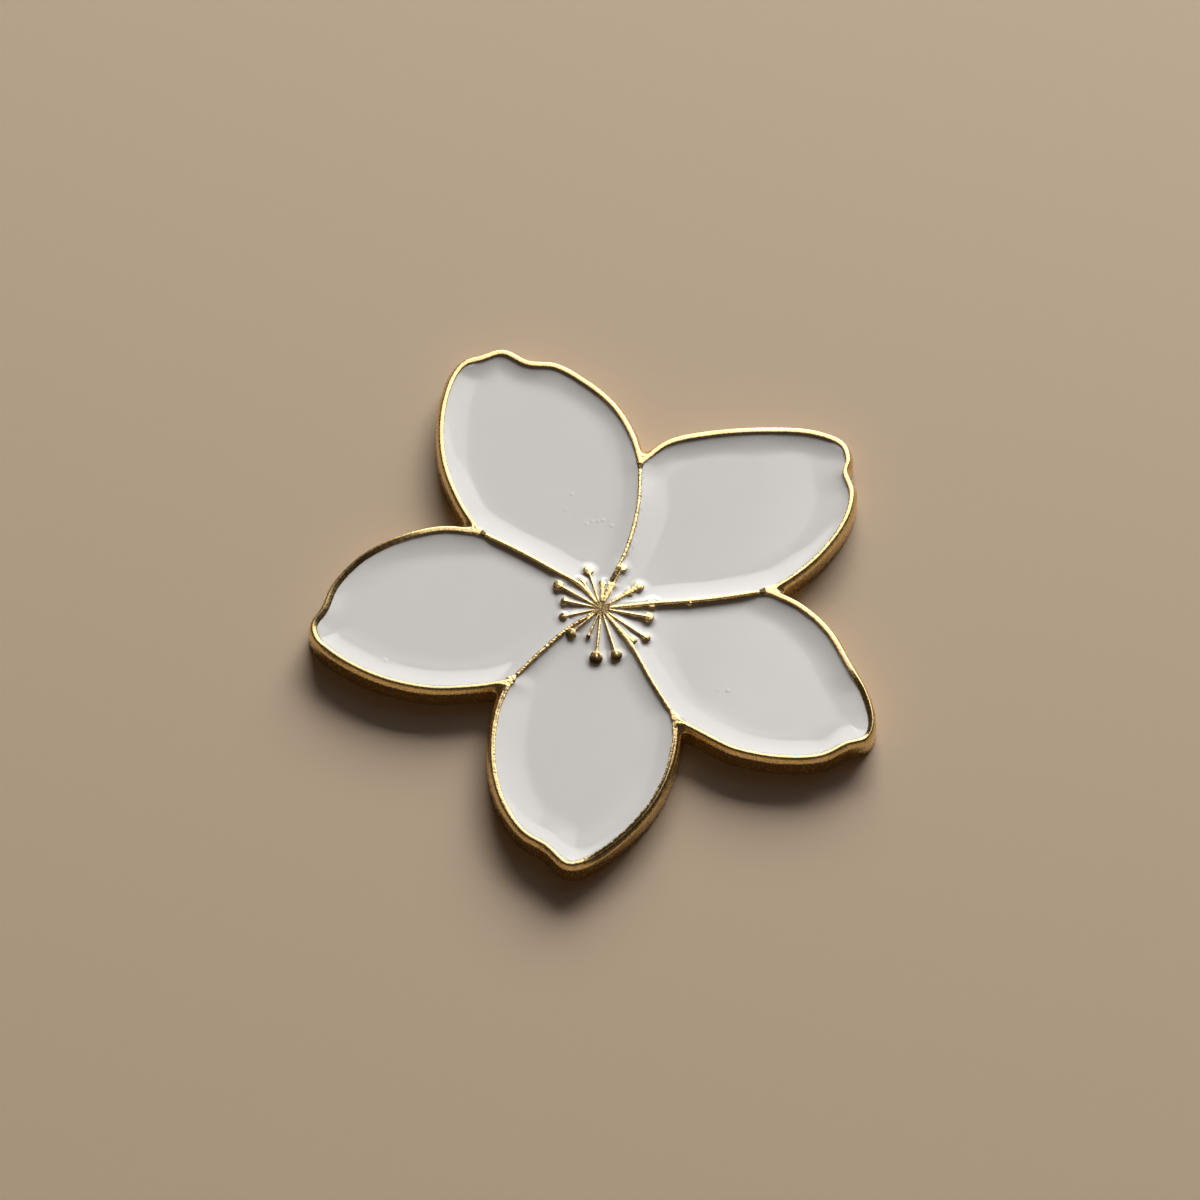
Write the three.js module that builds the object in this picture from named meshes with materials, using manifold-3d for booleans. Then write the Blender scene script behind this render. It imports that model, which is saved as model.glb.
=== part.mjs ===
// Enamel flower: a flat gilt casting whose five petal cells are filled with white enamel.
// Millimetres, +Z up. The flat back lies on z = 0 and the flower's middle is over the origin.

import * as THREE from 'three';
import { mergeVertices } from 'three/addons/utils/BufferGeometryUtils.js';
import Module from 'manifold-3d';

// Heights above the back
const THICKNESS = 1.5;
const FLOOR_HEIGHT = 0.9;
const ENAMEL_HEIGHT = 1.32;

// Widths of the raised lines, whose tops are all level at the full thickness
const RIM_WIDTH = 0.28;
const DIVIDER_WIDTH = 0.2;
const FILAMENT_WIDTH = 0.2;
const HUB_RADIUS = 0.5;

// Outer wall: a broken edge at the back, a straight wall, then a round shoulder up to the rim
const BACK_EDGE = 0.08;
const SHOULDER_WIDTH = 0.27;
const SHOULDER_DROP = 0.65;
const SHOULDER_STEPS = 3;

// Gap left between each enamel fill and the metal beside and under it
const ENAMEL_GAP = 0.03;

// Fineness of the curves
const STEPS_PER_SPAN = 3;
const ROUND_SIDES = 14;

// How far a cut runs past what it cuts, and the lengths below which points and edges are merged
const CUT_OVERRUN = 1;
const SAME_POINT = 1e-5;
const SMALLEST_EDGE = 0.01;

// Colours and finishes
const GOLD = { color: 0xb99a5b, roughness: 0.3, metalness: 1 };
const ENAMEL = { color: 0xdedbd6, roughness: 0.12, metalness: 0 };

// Dividers, clockwise, each from the corner where two petals' rims meet in to the middle
const DIVIDERS = [
  [[-7.07, 5.12], [-4.62, 3.76], [-2.52, 2.44], [-1.2, 1.58], [0, 0]],
  [[2.31, 9.82], [2.12, 6.62], [1.42, 3.8], [0.58, 1.87], [0, 0]],
  [[9.56, 1.19], [6.12, 0.62], [2.97, 0.35], [0, 0]],
  [[4.18, -7.06], [2.81, -4.56], [1.7, -2.34], [0, 0]],
  [[-5.16, -4.7], [-3.31, -2.68], [-1.98, -1.37], [0, 0]],
];

// Petals, clockwise. Petal i lies between divider i and the next one, and its rim's centre line
// runs round the tip from corner to corner through these points.
const PETALS = [
  {
    name: 'upper_left',
    rim: [
      [-8.13, 6.95], [-9.14, 9.75], [-9.35, 12.76], [-8.79, 15.57], [-8.09, 16.65], [-7.13, 17.01],
      [-5.83, 17.44], [-4.33, 16.68], [-2.71, 16.48], [-0.95, 15.37], [0.74, 13.72], [1.83, 11.65],
    ],
  },
  {
    name: 'upper_right',
    rim: [
      [3.91, 11.14], [6.41, 11.77], [9.53, 12.02], [12.44, 11.83], [14.09, 11.06], [14.41, 10.03],
      [14.22, 9.16], [14.55, 7.77], [14.13, 5.96], [12.73, 3.78], [10.84, 2.0],
    ],
  },
  {
    name: 'lower_right',
    rim: [
      [11.36, 0.18], [12.9, -1.41], [13.97, -3.53], [14.86, -5.54], [15.18, -7.27], [14.83, -8.27],
      [13.74, -8.67], [12.32, -9.4], [10.04, -9.51], [7.56, -9.0], [5.55, -7.91],
    ],
  },
  {
    name: 'bottom',
    rim: [
      [4.09, -8.81], [3.51, -10.96], [2.26, -13.15], [0.35, -15.09], [-1.13, -16.03],
      [-1.87, -16.1], [-3.0, -15.04], [-4.32, -14.14], [-5.44, -12.35], [-6.01, -10.16],
      [-6.04, -7.91], [-5.69, -5.96],
    ],
  },
  {
    name: 'left',
    rim: [
      [-7.12, -5.02], [-9.71, -5.09], [-12.34, -4.47], [-14.77, -3.2], [-16.1, -1.95],
      [-16.32, -1.05], [-15.75, 0.0], [-15.21, 1.5], [-13.86, 3.22], [-11.75, 4.58], [-9.25, 5.29],
    ],
  },
];

// Stamens, clockwise from the top: the end of each straight filament, which starts in the
// middle, and the radius of the round head on it
const STAMENS = [
  { end: [1.21, 2.73], head: 0.28 },
  { end: [2.17, 1.47], head: 0.29 },
  { end: [1.65, 1.11], head: 0.2 },
  { end: [2.95, 0.37], head: 0.2 },
  { end: [2.73, -0.54], head: 0.28 },
  { end: [2.56, -1.9], head: 0.25 },
  { end: [1.9, -2.22], head: 0.22 },
  { end: [0.87, -3.0], head: 0.32 },
  { end: [-0.28, -3.16], head: 0.36 },
  { end: [-0.72, -1.77], head: 0.12 },
  { end: [-1.71, -1.61], head: 0.29 },
  { end: [-2.16, -0.53], head: 0.25 },
  { end: [-2.09, 0.51], head: 0.22 },
  { end: [-2.46, 1.58], head: 0.29 },
  { end: [-1.06, 1.79], head: 0.2 },
  { end: [-0.73, 2.54], head: 0.3 },
  { end: [0.07, 1.67], head: 0.2 },
  { end: [0.58, 1.57], head: 0.22 },
];

const wasm = await Module();
wasm.setup();

// Solids for cutting and joining

function toSolid(geometry) {
  const bare = new THREE.BufferGeometry();
  bare.setAttribute('position', geometry.getAttribute('position'));
  bare.setIndex(geometry.getIndex());
  const merged = mergeVertices(bare, SAME_POINT);
  return new wasm.Manifold(new wasm.Mesh({
    numProp: 3,
    vertProperties: merged.getAttribute('position').array,
    triVerts: new Uint32Array(merged.getIndex().array),
  }));
}

function toGeometry(solid) {
  const mesh = solid.asOriginal().simplify(SMALLEST_EDGE).getMesh();
  const geometry = new THREE.BufferGeometry();
  geometry.setAttribute('position', new THREE.BufferAttribute(new Float32Array(mesh.vertProperties), 3));
  geometry.setIndex(new THREE.BufferAttribute(new Uint32Array(mesh.triVerts), 1));
  geometry.computeVertexNormals();
  return geometry;
}

function join(solids) {
  return solids.reduce((whole, solid) => whole.add(solid));
}

function largestPiece(solid) {
  return solid.decompose().reduce((best, piece) => (piece.volume() > best.volume() ? piece : best));
}

// Curves in plan

function curveThrough(points) {
  const curve = new THREE.CatmullRomCurve3(points.map(([x, y]) => new THREE.Vector3(x, y, 0)));
  const steps = (points.length - 1) * STEPS_PER_SPAN;
  return Array.from({ length: steps + 1 }, (_, i) => {
    const at = curve.getPoint(i / steps);
    const ahead = curve.getTangent(i / steps);
    return { at: new THREE.Vector2(at.x, at.y), left: new THREE.Vector2(-ahead.y, ahead.x) };
  });
}

function offsetToLeft(line, distance) {
  return line.map(({ at, left }) => at.clone().addScaledVector(left, distance));
}

const dividerLines = DIVIDERS.map(curveThrough);

// Clockwise round the flower, a rim's left side is its outer side
function rimLine(index) {
  const corner = DIVIDERS[index][0];
  const nextCorner = DIVIDERS[(index + 1) % DIVIDERS.length][0];
  return curveThrough([corner, ...PETALS[index].rim, nextCorner]);
}

const rimLines = PETALS.map((_, index) => rimLine(index));

// Upright prisms

function prism(outline, bottom, top) {
  const geometry = new THREE.ExtrudeGeometry(new THREE.Shape(outline), {
    depth: top - bottom,
    bevelEnabled: false,
  });
  return toSolid(geometry.translate(0, 0, bottom));
}

function bar(line, width, bottom, top) {
  const leftEdge = offsetToLeft(line, width / 2);
  const rightEdge = offsetToLeft(line, -width / 2);
  return prism([...leftEdge, ...rightEdge.reverse()], bottom, top);
}

function post([x, y], radius, bottom, top) {
  const geometry = new THREE.CylinderGeometry(radius, radius, top - bottom, ROUND_SIDES);
  return toSolid(geometry.rotateX(Math.PI / 2).translate(x, y, (bottom + top) / 2));
}

// A solid through level rings of equal length, closed by a flat cap at each end
function loft(rings) {
  const size = rings[0].points.length;
  const positions = rings.flatMap(({ points, z }) => points.flatMap((p) => [p.x, p.y, z]));
  const cap = THREE.ShapeUtils.triangulateShape(rings[0].points, []);
  const lastRing = (rings.length - 1) * size;
  const faces = cap.flatMap(([a, b, c]) => [c, b, a, a + lastRing, b + lastRing, c + lastRing]);
  for (let level = 0; level < lastRing; level += size) {
    for (let i = 0; i < size; i += 1) {
      const next = (i + 1) % size;
      faces.push(level + i, level + next, level + size + next);
      faces.push(level + i, level + size + next, level + size + i);
    }
  }
  const geometry = new THREE.BufferGeometry();
  geometry.setAttribute('position', new THREE.Float32BufferAttribute(positions, 3));
  geometry.setIndex(faces);
  return toSolid(geometry);
}

// The casting

function wallProfile() {
  const rimEdge = RIM_WIDTH / 2;
  const wall = rimEdge + SHOULDER_WIDTH;
  const profile = [
    { out: wall - BACK_EDGE, z: 0 },
    { out: wall, z: BACK_EDGE },
  ];
  for (let step = 0; step <= SHOULDER_STEPS; step += 1) {
    const turn = (step / SHOULDER_STEPS) * (Math.PI / 2);
    profile.push({
      out: rimEdge + SHOULDER_WIDTH * Math.cos(turn),
      z: THICKNESS - SHOULDER_DROP * (1 - Math.sin(turn)),
    });
  }
  return profile;
}

// One petal of the uncut casting, with a point in the middle of the flower
function petalBlock(line) {
  const middle = new THREE.Vector2(0, 0);
  const rings = wallProfile().map(({ out, z }) => ({
    points: [...offsetToLeft(line, out), middle].reverse(),
    z,
  }));
  return loft(rings);
}

// The raised lines inside the rim, each wider by the margin on both sides
function raisedLines(margin, bottom, top) {
  const dividers = dividerLines.map((line) => bar(line, DIVIDER_WIDTH + 2 * margin, bottom, top));
  const filaments = STAMENS.map(({ end }) => (
    bar(curveThrough([[0, 0], end]), FILAMENT_WIDTH + 2 * margin, bottom, top)
  ));
  const heads = STAMENS.map(({ end, head }) => post(end, head + margin, bottom, top));
  const hub = post([0, 0], HUB_RADIUS + margin, bottom, top);
  return join([...dividers, ...filaments, ...heads, hub]);
}

// What fills a petal inside its rim, its dividers and its stamens, less the margin all round
function cellFill(index, margin, bottom, top) {
  const rim = offsetToLeft(rimLines[index], -(RIM_WIDTH / 2 + margin));
  const dividerBefore = dividerLines[index].map(({ at }) => at);
  const dividerAfter = dividerLines[(index + 1) % DIVIDERS.length].map(({ at }) => at);
  const outline = [...rim, ...dividerAfter, ...dividerBefore.slice(0, -1).reverse()];
  const lines = raisedLines(margin, bottom - CUT_OVERRUN, top + CUT_OVERRUN);
  return largestPiece(prism(outline, bottom, top).subtract(lines));
}

function casting() {
  const blocks = rimLines.map(petalBlock);
  const dividers = dividerLines.map((line) => bar(line, DIVIDER_WIDTH, BACK_EDGE, THICKNESS));
  const cells = PETALS.map((_, index) => cellFill(index, 0, FLOOR_HEIGHT, THICKNESS + CUT_OVERRUN));
  return join([...blocks, ...dividers]).subtract(join(cells));
}

function enamelFill(index) {
  return cellFill(index, ENAMEL_GAP, FLOOR_HEIGHT + ENAMEL_GAP, ENAMEL_HEIGHT);
}

// The flower

function part(name, solid, finish) {
  const mesh = new THREE.Mesh(toGeometry(solid), new THREE.MeshStandardMaterial(finish));
  mesh.name = name;
  return mesh;
}

const flower = new THREE.Group();
flower.add(part('metal_body', casting(), GOLD));
PETALS.forEach(({ name }, index) => {
  flower.add(part(`enamel_${name}`, enamelFill(index), ENAMEL));
});

export default flower;
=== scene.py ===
# Looks of the enamel flower: a gilt casting with white enamel in its petals.
# Sizes and places on the flower are in millimetres, and are turned into metres where an object is
# made. Lights and the camera are in metres.

import copy
import math

import bpy
import numpy as np
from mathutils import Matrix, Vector
from mathutils.geometry import delaunay_2d_cdt
from mathutils.kdtree import KDTree


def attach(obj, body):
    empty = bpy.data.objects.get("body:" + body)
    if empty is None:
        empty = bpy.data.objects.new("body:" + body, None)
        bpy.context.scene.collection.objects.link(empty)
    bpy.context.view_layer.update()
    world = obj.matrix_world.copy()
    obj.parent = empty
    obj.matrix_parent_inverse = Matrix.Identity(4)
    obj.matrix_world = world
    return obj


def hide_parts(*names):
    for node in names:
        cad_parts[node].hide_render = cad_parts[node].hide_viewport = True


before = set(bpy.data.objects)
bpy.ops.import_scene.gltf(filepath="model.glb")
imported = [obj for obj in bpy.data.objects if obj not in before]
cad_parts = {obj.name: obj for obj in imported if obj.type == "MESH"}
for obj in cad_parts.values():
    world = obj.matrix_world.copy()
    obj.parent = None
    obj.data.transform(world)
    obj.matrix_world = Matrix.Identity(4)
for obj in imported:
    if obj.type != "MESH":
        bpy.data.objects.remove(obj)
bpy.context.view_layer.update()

MM = 0.001

# Heights above the back
THICKNESS = 1.5
FLOOR_HEIGHT = 0.9
ENAMEL_BOTTOM = 0.93
ENAMEL_MIDDLE = 1.225

# Half widths of the raised lines. The rim's inner half is wider where its outer side faces +Y, and
# narrower where it faces -Y.
RIM_HALF = 0.14
RIM_SHIFT = 0.055
DIVIDER_HALF = 0.095
FILAMENT_HALF = 0.066

# Dividers, clockwise, each from the corner where two petals' rims meet in to the middle
DIVIDERS = [
    [(-7.07, 5.12), (-4.62, 3.76), (-2.52, 2.44), (-1.2, 1.58), (0, 0)],
    [(2.31, 9.82), (2.12, 6.62), (1.42, 3.8), (0.58, 1.87), (0, 0)],
    [(9.56, 1.19), (6.12, 0.62), (2.97, 0.35), (0, 0)],
    [(4.18, -7.06), (2.81, -4.56), (1.7, -2.34), (0, 0)],
    [(-5.16, -4.7), (-3.31, -2.68), (-1.98, -1.37), (0, 0)],
]

# Petals, clockwise: petal i lies between divider i and the next one. The points run along the
# centre line of its rim, round the tip from corner to corner.
PETALS = {
    "upper_left": [
        (-8.13, 6.95), (-9.14, 9.75), (-9.35, 12.76), (-8.79, 15.57), (-8.09, 16.65), (-7.13, 17.01),
        (-5.83, 17.44), (-4.33, 16.68), (-2.71, 16.48), (-0.95, 15.37), (0.74, 13.72), (1.83, 11.65),
    ],
    "upper_right": [
        (3.91, 11.14), (6.41, 11.77), (9.53, 12.02), (12.44, 11.83), (14.09, 11.06), (14.41, 10.03),
        (14.22, 9.16), (14.55, 7.77), (14.13, 5.96), (12.73, 3.78), (10.84, 2.0),
    ],
    "lower_right": [
        (11.36, 0.18), (12.9, -1.41), (13.97, -3.53), (14.86, -5.54), (15.18, -7.27), (14.83, -8.27),
        (13.74, -8.67), (12.32, -9.4), (10.04, -9.51), (7.56, -9.0), (5.55, -7.91),
    ],
    "bottom": [
        (4.09, -8.81), (3.51, -10.96), (2.26, -13.15), (0.35, -15.09), (-1.13, -16.03),
        (-1.87, -16.1), (-3.0, -15.04), (-4.32, -14.14), (-5.44, -12.35), (-6.01, -10.16),
        (-6.04, -7.91), (-5.69, -5.96),
    ],
    "left": [
        (-7.12, -5.02), (-9.71, -5.09), (-12.34, -4.47), (-14.77, -3.2), (-16.1, -1.95),
        (-16.32, -1.05), (-15.75, 0.0), (-15.21, 1.5), (-13.86, 3.22), (-11.75, 4.58), (-9.25, 5.29),
    ],
}

# Stamens, clockwise from the top: the end of each filament and the radius of the head on it
STAMENS = [
    ((1.21, 2.73), 0.28),
    ((2.17, 1.47), 0.29),
    ((1.67, 1.09), 0.22),
    ((2.92, 0.34), 0.29),
    ((2.73, -0.54), 0.28),
    ((2.56, -1.9), 0.25),
    ((1.8, -2.14), 0.29),
    ((0.87, -3.0), 0.32),
    ((-0.28, -3.16), 0.36),
    ((-0.72, -1.77), 0.12),
    ((-1.71, -1.61), 0.29),
    ((-2.16, -0.53), 0.25),
    ((-2.09, 0.51), 0.22),
    ((-2.46, 1.58), 0.29),
    ((-1.06, 1.79), 0.25),
    ((-0.73, 2.54), 0.3),
    ((0.09, 1.68), 0.22),
    ((0.62, 1.55), 0.24),
]

# How much wider some filaments get towards their end, by stamen, and how late they widen
FLARES = {1: 0.13, 16: 0.11, 17: 0.12}
FLARE_POWER = 1.5

# A rough low ridge beside one divider's end: its two ends in plan, half width, slope down to its
# right side, roughness, and how far out it darkens the metal, in half widths
SLUG = np.array([(0.62, 1.85), (1.04, 2.62)])
SLUG_HALF = 0.16
SLUG_LEAN = 0.2
SLUG_ROUGHNESS = 1.5
SLUG_DARK_REACH = 1.8

# How each rim's top was finished, along its length: millimetres from its start, how far it leans
# inwards as a slope, or outwards if below zero, how rough its marks are and how ragged its edges
# A top that leans is also painted darker, as shade.
RIM_FINISH = {
    "upper_left": [(0, 0, 0.35, 0.5), (11, 0, 0.4, 0.6), (13, 0, 0.2, 0.3), (26.8, 0, 0.2, 0.3)],
    "upper_right": [
        (0, 0, 0.2, 0.4), (13, 0, 0.2, 0.4), (17, 0, 0.5, 0.8), (18.5, 0, 1.1, 1.3),
        (24.6, 0, 1.2, 1.4),
    ],
    "lower_right": [
        (0, 0, 0.4, 0.6), (5, 0, 0.35, 0.5), (7.2, 0.06, 0.5, 0.8), (8.4, 0.4, 0.7, 1.2),
        (11.3, 0.36, 0.7, 1.2), (12.1, 0, 0.35, 0.6), (23.3, 0, 0.3, 0.5),
    ],
    "bottom": [
        (0, -0.15, 0.9, 1.5), (0.6, -0.36, 0.9, 2.0), (1.5, -0.42, 0.8, 2.8), (10.1, -0.42, 0.8, 2.8),
        (11.0, 0, 0.5, 1.2), (15, 0, 0.4, 0.6), (18, -0.03, 1.1, 1.4), (22, -0.1, 1.3, 1.6),
        (25, -0.24, 1.4, 1.8),
    ],
    "left": [
        (0, 0, 0.4, 0.7), (11.2, 0, 0.3, 0.5), (11.9, 0.45, 0.5, 1.0), (18, 0.5, 0.7, 1.3),
        (20, 0.3, 0.6, 1.0), (22, 0.03, 0.4, 0.7), (25.1, 0, 0.4, 0.5),
    ],
}

# How rough each divider's marks are, and where one dips: along its length, and how far
DIVIDER_ROUGHNESS = (0.7, 1.8, 0.5, 1.0, 2.3)
DIPPED_DIVIDER = 1
DIVIDER_DIP = [(7.6, 0.0), (8.2, 0.06), (8.3, 0.05), (8.5, 0.0)]

# The web between two rims and the divider that starts there: how long it is, where on it the fall
# starts, how much wider than the divider it starts, how far it falls, and the length of the rise
# back to the divider's height
WEB_LENGTH = 0.55
WEB_LEVEL = 0.15
WEB_SPREAD = 0.17
WEB_DROP = 0.02
WEB_END = 0.08

# How dark the painted shade is in the wedge inside each corner, where it starts, ends and stops
# to the side, and the width over which it fades
WEDGE_SHADE = (1.0, 1.0, 1.0, 0.5, 0.2)
WEDGE_START = 0.02
WEDGE_END = 0.58
WEDGE_HALF = 0.3
WEDGE_FADE = 0.12

# The filled notch on the outer side of each corner: how far from the corner the outline starts to
# round it off, and the length and half widths of the ridge that fills it
NOTCH_REACH = 0.6
NOTCH_FILL = 0.42
NOTCH_HALF = 0.15
NOTCH_SPREAD = 0.17

# Specks under the enamel: the radius of all, and the place and height of each
SPECK_RADIUS = 0.1
SPECKS = [
    (-1.67, 7.75, 0.012), (-2.07, 6.75, 0.008), (-1.42, 6.1, 0.006), (-0.83, 5.74, 0.012),
    (-0.52, 5.91, 0.008), (-0.17, 5.94, 0.01), (0.12, 6.0, 0.014), (0.6, 5.61, 0.014),
    (7.15, -5.19, 0.012), (6.62, -5.16, 0.006), (-12.24, -3.26, 0.012),
]

# A burr on a divider: its two ends, how far below the tops it lies, the half width of its level
# middle, the slope beside that, and how far out it ends
BURR = np.array([(4.82, 0.54), (5.15, 0.35)])
BURR_DROP = 0.01
BURR_HALF = 0.03
BURR_SLOPE = 0.8
BURR_REACH = 0.12

# A gold fleck in the enamel: its two ends, half width and height above the back
FLECK = np.array([(2.72, -7.81), (2.93, -8.02)])
FLECK_HALF = 0.045
FLECK_HEIGHT = 1.24

# The ground tops: how far a line's top falls to its edges, the steepness of the sides inside the
# petals, and how ragged the edges are. A top that leans falls over this many half widths.
CROWN = 0.016
CROWN_POWER = 4
SIDE_SLOPE = 7.0
EDGE_RAGGED = 0.015
RAGGED_PITCH = 0.31
INWARD_SPAN = 3
OUTWARD_SPAN = 2

# The file marks across the tops: their depth and pitch, and how the two sets cross. Each slants by
# this much along the line for one across it, the second is coarser, and each has its weight.
MARK_DEPTH = 0.008
MARK_PITCH = 0.06
MARK_SLANTS = (0.35, -0.5)
COARSER = 1.7
WEIGHTS = (0.6, 0.4)

# Heads fall outwards from their filament's end, as a tilted low dome, and those at the front fall
# more. On those at the front, painted shade darkens the outer side from this share of the radius
# inside the middle.
HEAD_DROP = 0.02
HEAD_LEAN = 0.13
FRONT_HEAD_LEAN = 0.04
HEAD_CROWN = 0.026
HEAD_SHADE = 0.3

# The hub: its radius and roughness, how its marks are squeezed towards the middle, how the tops
# rise from it, and how far out painted shade darkens the metal round it: this much at the middle,
# less by this much for each radius
HUB_RADIUS = 0.42
HUB_ROUGHNESS = 2.4
HUB_SQUEEZE = 0.4
HUB_RISE = 0.35
HUB_SHADE = 1.5
HUB_SHADE_LOSS = 0.5

# Finish of the metal as the material reads it: up to ROUGHEST the roughness of its marks, above
# that a darker base colour: painted shade on the heads, the hub, the corner wedges and the leaning
# tops, and the darker slug
WALL_FINISH = 0.15
LINE_FINISH = 0.9
ROUGHEST = 2
HEAD_SHADE_FINISH = 2.15
SLUG_FINISH = 2.9
HUB_SHADE_FINISH = 2.9
DARKEST = 3.0

# Leaning tops: the slope up to which one counts as level, how much painted shade darkens one for
# its slope, and how much further out one that leans inwards starts to turn over
LEVEL_LEAN = 0.1
LEAN_SHADE = 1.8
LEAN_SHIFT = 0.12

# Outer side, from the rim's centre line out: where the top starts to turn over, the radius and end
# of that turn, the sharp edge under the steep facet, and the wall down to the back
TURN_OUT = 0.065
TURN_RADIUS = 0.12
TURN_END = math.radians(50)
TURN_STEPS = 4
FACET_OUT = 0.335
FACET_DROP = 0.345
FACET_BULGE = 0.016
FACET_SHARES = (0.0, 0.2, 0.4, 0.6, 0.8)
FACET_EDGE = (0.004, 0.03)
WALL_OUT = 0.4
BACK_EDGE = 0.08
BACK_TURN = (0.02, 0.03)

# Unevenness of the outer side: the share of the edge's raggedness that it has, how deep and how
# long its dents are, the same for the waves of its facet, how close to a corner all of it fades
# out, and the share of the thickness above which its finish is the top's
WALL_RAGGED = 0.4
NEAR_TOP_POWER = 4
DENT = 0.008
DENT_PITCH = 1.3
FACET_WAVES = ((0.04, 1.7), (0.01, 0.4))
CORNER_FADE = 0.3
TOP_SHARE = 0.9

# Enamel: how high it climbs on the rim, how much higher where the rim's outer side faces +Y, how
# far out the rise reaches and how that varies, and how much lower it settles by the rim's lean
RIM_CLIMB = 0.185
RIM_CLIMB_SHIFT = 0.02
RIM_REACH = 1.85
REACH_VARIATION = 0.15
REACH_PITCH = 2.3
LEAN_SETTLE = 0.2

# Its climb on the dividers, the shares of climb and reach lost on their -Y side, and how sharply
# the rises from all sides blend
DIVIDER_CLIMB = 0.19
LOWER_CLIMB_LOSS = 0.7
LOWER_REACH_LOSS = 0.3
BLEND_POWER = 3

# Its climb on the stamens, the low hill round the hub, and the most that it rises in all
STAMEN_CLIMB = 0.06
STAMEN_REACH = 0.42
HUB_HILL = 0.13
HUB_SPREAD = 2.7
HIGHEST_CLIMB = 0.2

# How far its edge is tucked into the metal
RIM_TUCK = 0.11
TUCK = 0.05

# Lengths are counted from a different start on each line, so that no two share their marks
RIMS_APART = 50
FIRST_DIVIDER = 400
DIVIDERS_APART = 50
FILAMENTS_APART = 10
HEADS_APART = 3
FILLS_APART = 5
HUB_START = 4

# Seeds of the random values, and how many there are of each
RIM_SEED = 10
WALL_SEED = 11
DIVIDER_SEED = 20
FILAMENT_SEED = 30
FILL_SEED = 50
HEAD_SEED = 60
ENAMEL_SEED = 70
HUB_SEED = 90
SLUG_SEED = 95
TABLE_SIZE = 4096

# Fineness of curves, rings and loops
SPAN_STEPS = 60
CURVE_STEP = 0.02
RING_STEP = 0.046
CORNER_SAMPLES = 220
LOOP_SKIP = 5
CELL_SKIP = 2

# Points of the metal's top: how far to the left of the lines they lie, how far apart, the rings on
# each head as shares of its radius with their counts, and the grids as their step and half width
RIM_OFFSETS = (0, -0.04, -0.08, -0.11, -0.135, -0.155, -0.18, -0.25)
DIVIDER_OFFSETS = (0, 0.035, -0.035, 0.07, -0.07, 0.1, -0.1, 0.12, -0.12, 0.19, -0.19)
DIVIDER_STEP = 0.05
FILAMENT_OFFSETS = (0, 0.04, -0.04, 0.075, -0.075, 0.1, -0.1, 0.13, -0.13, 0.18, -0.18)
FILAMENT_STEP = 0.045
HEAD_RINGS = ((0, 1), (0.3, 8), (0.6, 14), (0.85, 20), (1, 26), (1.12, 28), (1.45, 28))
HUB_GRID = (0.045, 0.65)
BURR_GRID = (0.03, 0.3)
FLECK_GRID = (0.03, 0.4)
CORNER_GRID = (0.05, 0.8)
FLOOR_GRID = (0.9, 18.0)
FLOOR_INSET = 0.4
METAL_CELL = 0.022

# Points of the enamel's top: how far from the metal the rows beside it lie and how far apart their
# points, the grids, and how close to the metal none is kept
ENAMEL_DEPTHS = (0.04, 0.09, 0.15, 0.22, 0.3)
ENAMEL_LINE_STEP = 0.08
SPECK_GRID = (0.035, 0.3)
STAMEN_GRID = (0.05, 3.7)
PETAL_GRID = (0.1, 18.0)
ENAMEL_CELL = 0.03
ENAMEL_CLEARANCE = 0.01

# Small numbers: a gap that counts as none, the distance within which points are merged, and a
# stand-in for nothing where it would divide
BARELY = 1e-4
MERGE_WITHIN = 1e-7
ALMOST_NOTHING = 1e-12

# Colours
GOLD_TONES = ((0.80, 0.565, 0.24), (0.93, 0.715, 0.38))
# The colour towards which the painted shade on the metal, and the darker slug, are mixed
DARK_GOLD = (0.13, 0.09, 0.04)
ENAMEL_TONES = ((0.745, 0.737, 0.722), (0.77, 0.762, 0.75))
FLOOR_COLOR = (0.57, 0.445, 0.315)
WHITE = (1.0, 0.985, 0.965)
AMBER = (1.0, 0.74, 0.42)
ROOM_COLOR = (1.0, 0.72, 0.48)
ROOM_STRENGTH = 0.05

# Surfaces: how the marks' coordinates are squeezed for their noise, the middle of a noise's range,
# the roughness that it gives, and how deep and strong the bumps are
MARK_STRETCH = (1.0, 0.18, 0.0)
NOISE_MIDDLE = (0.3, 0.7)
GOLD_ROUGHNESS = (0.2, 0.34)
GOLD_BUMP = 0.006
GOLD_BUMP_STRENGTH = (0.05, 1.0)
ENAMEL_IOR = 1.55
ENAMEL_ROUGHNESS = (0.07, 0.12)
ENAMEL_BUMP = 0.004
ENAMEL_BUMP_STRENGTH = 0.3
FLOOR_ROUGHNESS = 0.7

# Lights, all at the same distance: name, azimuth and elevation in degrees, width and height,
# radiance and colour. The window lights the flower, and the others are only mirrored in it.
LIGHT_DISTANCE = 1.0
WINDOW = ("window", 14, 23, (0.8, 0.4), 18.6, WHITE)
SHEENS = (
    ("low sheen", 18, 23, (1.05, 0.53), 5.2, WHITE),
    ("middle sheen", 22, 46.5, (0.9, 0.3), 3.4, WHITE),
    ("high sheen", 27, 59.5, (0.38, 0.2), 1.6, WHITE),
    ("top sheen", 12, 61.5, (0.6, 0.19), 1.2, WHITE),
    ("room wall", 185, 4, (2.0, 0.25), 0.45, AMBER),
)

# Camera: elevation over -Y in degrees, distance, width of the picture where the flower lies, and
# how far up and left of the middle of the flower it aims
CAMERA_ELEVATION = 60.5
CAMERA_DISTANCE = 0.230
PICTURE_WIDTH = 0.06857
SENSOR_WIDTH = 36
NEAREST_SEEN = 0.01
AIM_UP = 0.000457
AIM_LEFT = 0.000057

FLOOR_REACH = 1.5


# Curves in plan

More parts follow.
